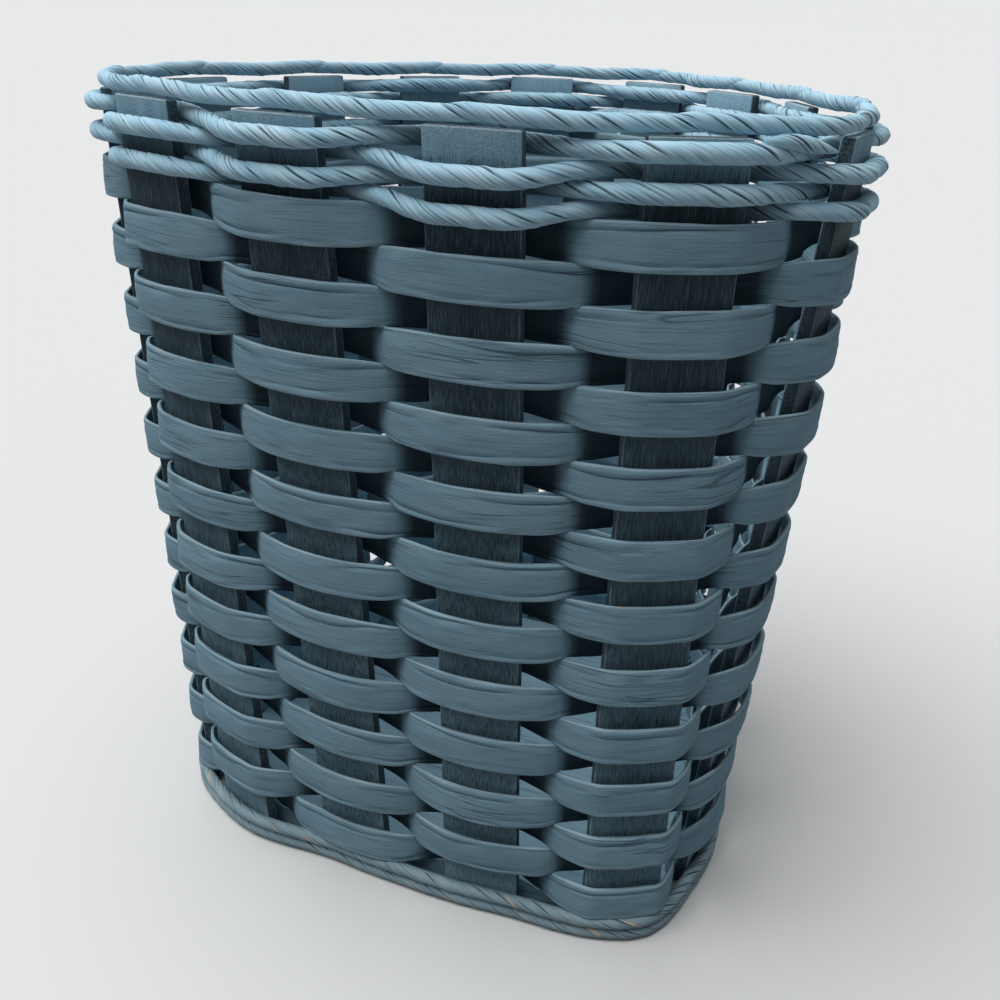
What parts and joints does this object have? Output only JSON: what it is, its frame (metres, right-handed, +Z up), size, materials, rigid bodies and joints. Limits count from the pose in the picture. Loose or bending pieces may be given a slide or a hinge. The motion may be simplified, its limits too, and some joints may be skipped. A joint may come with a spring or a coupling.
{
  "type": "wastepaper basket",
  "caption": "Open-topped wastepaper basket, broad in front and rounded behind: flat wooden stakes woven with flat fibre strips, bound with twisted paper cord at rim and foot.",
  "frame": {"origin": "middle of the basket's outline, on the floor", "axes": "+Z up through the open mouth; -Y towards the broad front, which has four stakes; +X to the right seen from there"},
  "size_m": [0.2756, 0.2676, 0.292],
  "materials": {
    "stake_wood": "flat wooden stakes in worn chalky blue-grey paint, bare at the edges",
    "base_wood": "board in thin blue-grey paint",
    "flat_fibre": "flat woven fibre strip, creased along its length, in worn blue-grey paint",
    "paper_cord": "twisted paper cord in worn blue-grey paint, beige where it is rubbed",
    "brad_steel": "plain bright steel"
  },
  "bodies": {
    "root": {"base_board": "base_wood", "stake_01": "stake_wood", "stake_02": "stake_wood", "stake_03": "stake_wood", "stake_04": "stake_wood", "stake_05": "stake_wood", "stake_06": "stake_wood", "stake_07": "stake_wood", "stake_08": "stake_wood", "stake_09": "stake_wood", "stake_10": "stake_wood", "stake_11": "stake_wood", "stake_12": "stake_wood", "stake_13": "stake_wood", "stake_14": "stake_wood", "brad_01": "brad_steel", "brad_02": "brad_steel", "brad_03": "brad_steel", "brad_04": "brad_steel", "brad_05": "brad_steel", "brad_06": "brad_steel", "brad_07": "brad_steel", "brad_08": "brad_steel", "brad_09": "brad_steel", "brad_10": "brad_steel", "brad_11": "brad_steel", "brad_12": "brad_steel", "brad_13": "brad_steel", "brad_14": "brad_steel", "flat_weaver_01": "flat_fibre", "flat_weaver_02": "flat_fibre", "flat_weaver_03": "flat_fibre", "flat_weaver_04": "flat_fibre", "flat_weaver_05": "flat_fibre", "flat_weaver_06": "flat_fibre", "flat_weaver_07": "flat_fibre", "flat_weaver_08": "flat_fibre", "flat_weaver_09": "flat_fibre", "flat_weaver_10": "flat_fibre", "flat_weaver_11": "flat_fibre", "flat_weaver_12": "flat_fibre", "flat_weaver_13": "flat_fibre", "flat_weaver_14": "flat_fibre", "flat_weaver_15": "flat_fibre", "flat_weaver_16": "flat_fibre", "flat_weaver_17": "flat_fibre", "flat_weaver_18": "flat_fibre", "flat_weaver_19": "flat_fibre", "flat_weaver_20": "flat_fibre", "flat_weaver_21": "flat_fibre", "cord_weaver_1": "paper_cord", "cord_weaver_2": "paper_cord", "cord_weaver_3": "paper_cord", "cord_weaver_4": "paper_cord", "rim_cord": "paper_cord", "foot_cord": "paper_cord"}
  },
  "joints": []
}
